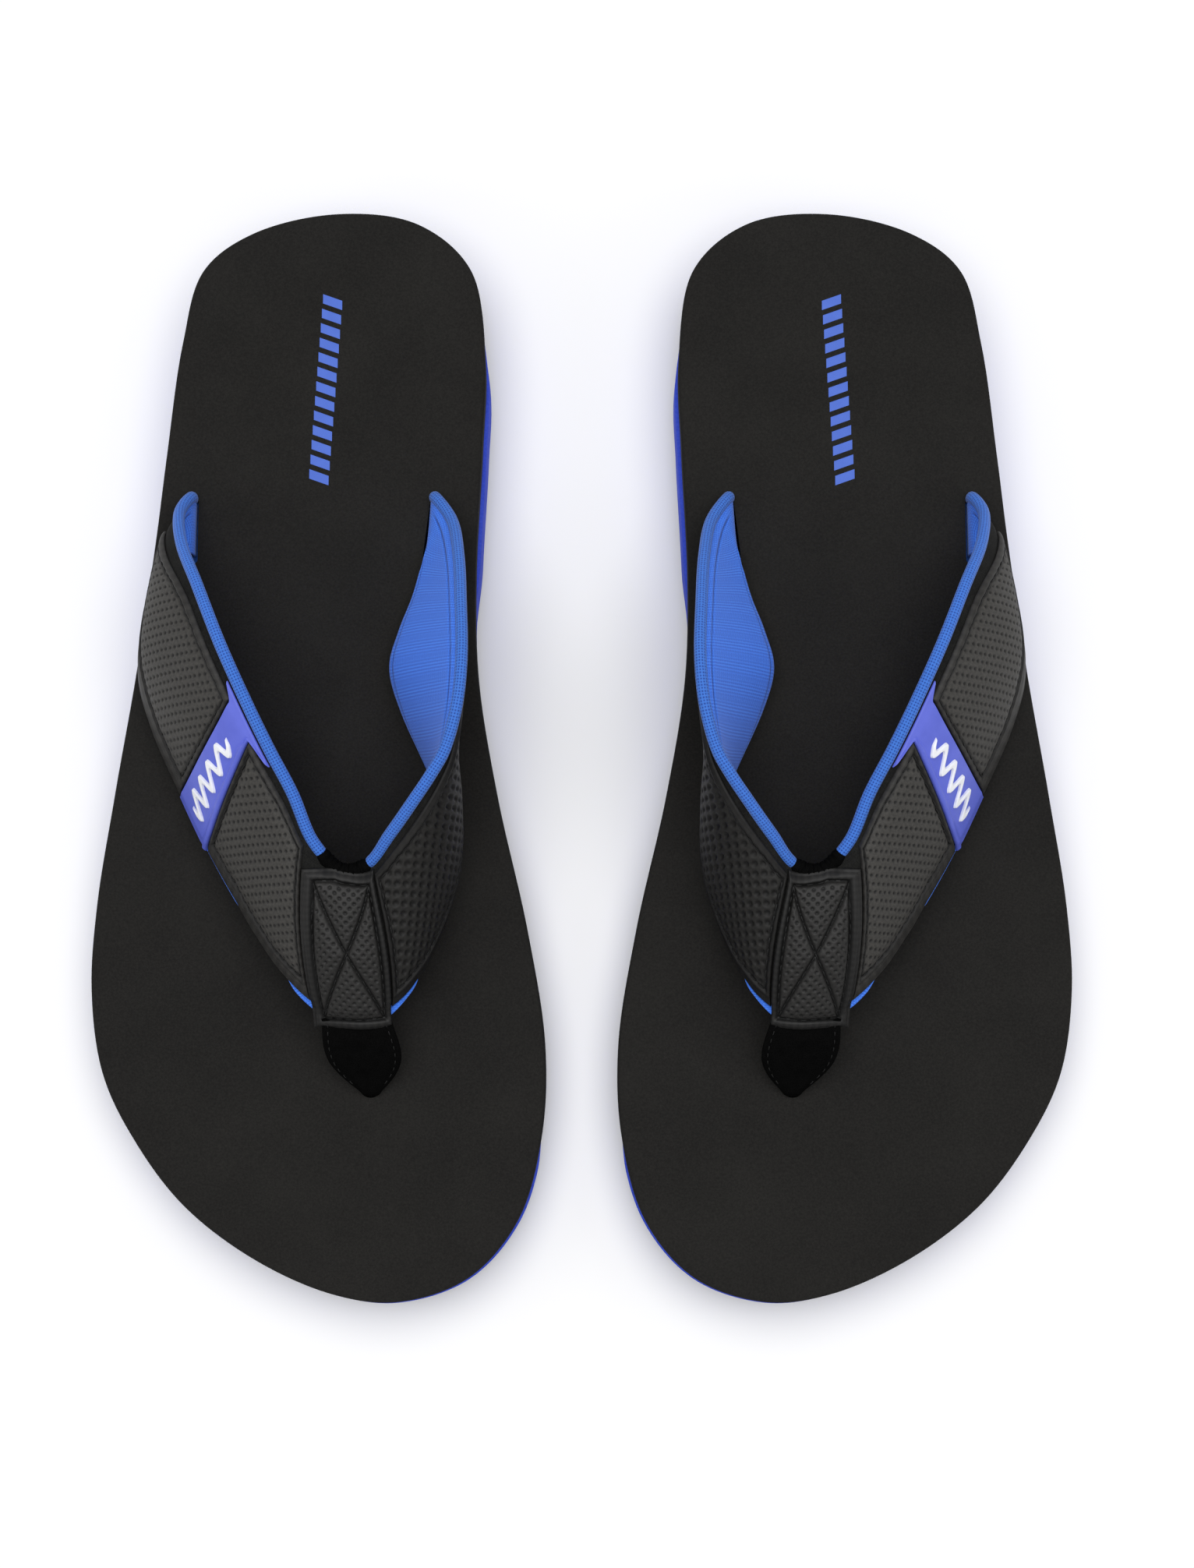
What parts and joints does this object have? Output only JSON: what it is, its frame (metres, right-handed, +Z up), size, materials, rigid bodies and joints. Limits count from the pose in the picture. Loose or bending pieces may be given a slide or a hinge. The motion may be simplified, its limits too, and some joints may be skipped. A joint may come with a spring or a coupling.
{
  "type": "flip flop",
  "caption": "Pair of wedge-soled flip flops with a padded V strap on each, held by two side slots and a toe post, with a bending forefoot.",
  "frame": {"origin": "on the ground, at the middle of the box around the pair", "axes": "+X from the right shoe to the left shoe, +Y from the toes to the heels, +Z up"},
  "size_m": [0.2524, 0.2826, 0.0612],
  "materials": {
    "outsole_rubber": "matte moulded rubber",
    "midsole_eva": "matte moulded EVA foam, fine-skinned",
    "footbed_eva": "matte EVA foam with a fine speckle",
    "knit_lining": "fine knitted polyester",
    "foam_core": "open-cell padding foam",
    "strap_synthetic": "black coated synthetic",
    "perforated_panel": "perforated coated synthetic",
    "badge_rubber": "satin moulded rubber",
    "badge_relief": "satin moulded rubber",
    "webbing": "brushed black webbing",
    "plug_plastic": "satin moulded plastic"
  },
  "bodies": {
    "right_shoe": {"right_outsole_rear": "outsole_rubber", "right_midsole_rear": "midsole_eva", "right_footbed_rear": "footbed_eva", "right_lateral_lining": "knit_lining", "right_medial_lining": "knit_lining", "right_lateral_padding": "foam_core", "right_medial_padding": "foam_core", "right_lateral_upper": "strap_synthetic", "right_medial_upper": "strap_synthetic", "right_lateral_tail": "knit_lining", "right_medial_tail": "knit_lining", "right_lateral_binding": "knit_lining", "right_medial_binding": "knit_lining", "right_centre_roll": "webbing", "right_lateral_rear_panel": "perforated_panel", "right_lateral_front_panel": "perforated_panel", "right_medial_panel": "perforated_panel", "right_badge": "badge_rubber", "right_badge_relief": "badge_relief", "right_centre_patch": "perforated_panel"},
    "right_forefoot": {"right_outsole_fore": "outsole_rubber", "right_midsole_fore": "midsole_eva", "right_footbed_fore": "footbed_eva", "right_toe_post": "webbing", "right_toe_plug": "plug_plastic"},
    "left_shoe": {"left_outsole_rear": "outsole_rubber", "left_midsole_rear": "midsole_eva", "left_footbed_rear": "footbed_eva", "left_lateral_lining": "knit_lining", "left_medial_lining": "knit_lining", "left_lateral_padding": "foam_core", "left_medial_padding": "foam_core", "left_lateral_upper": "strap_synthetic", "left_medial_upper": "strap_synthetic", "left_lateral_tail": "knit_lining", "left_medial_tail": "knit_lining", "left_lateral_binding": "knit_lining", "left_medial_binding": "knit_lining", "left_centre_roll": "webbing", "left_lateral_rear_panel": "perforated_panel", "left_lateral_front_panel": "perforated_panel", "left_medial_panel": "perforated_panel", "left_badge": "badge_rubber", "left_badge_relief": "badge_relief", "left_centre_patch": "perforated_panel"},
    "left_forefoot": {"left_outsole_fore": "outsole_rubber", "left_midsole_fore": "midsole_eva", "left_footbed_fore": "footbed_eva", "left_toe_post": "webbing", "left_toe_plug": "plug_plastic"}
  },
  "joints": [
    {"name": "right_sole_flex", "type": "hinge", "parent": "right_shoe", "child": "right_forefoot", "pos_m": [-0.0672, -0.06062, 0.0152], "axis": [-1, 0, 0], "range_deg": [0, 40], "stiffness_Nm_per_rad": 1, "deforming": ["right_toe_post"]},
    {"name": "left_shoe_lift", "type": "slide", "parent": "right_shoe", "child": "left_shoe", "axis": [0, 0, 1], "range_m": [0, 0.12]},
    {"name": "left_sole_flex", "type": "hinge", "parent": "left_shoe", "child": "left_forefoot", "pos_m": [0.0672, -0.06062, 0.0152], "axis": [-1, 0, 0], "range_deg": [0, 40], "stiffness_Nm_per_rad": 1, "deforming": ["left_toe_post"]}
  ]
}
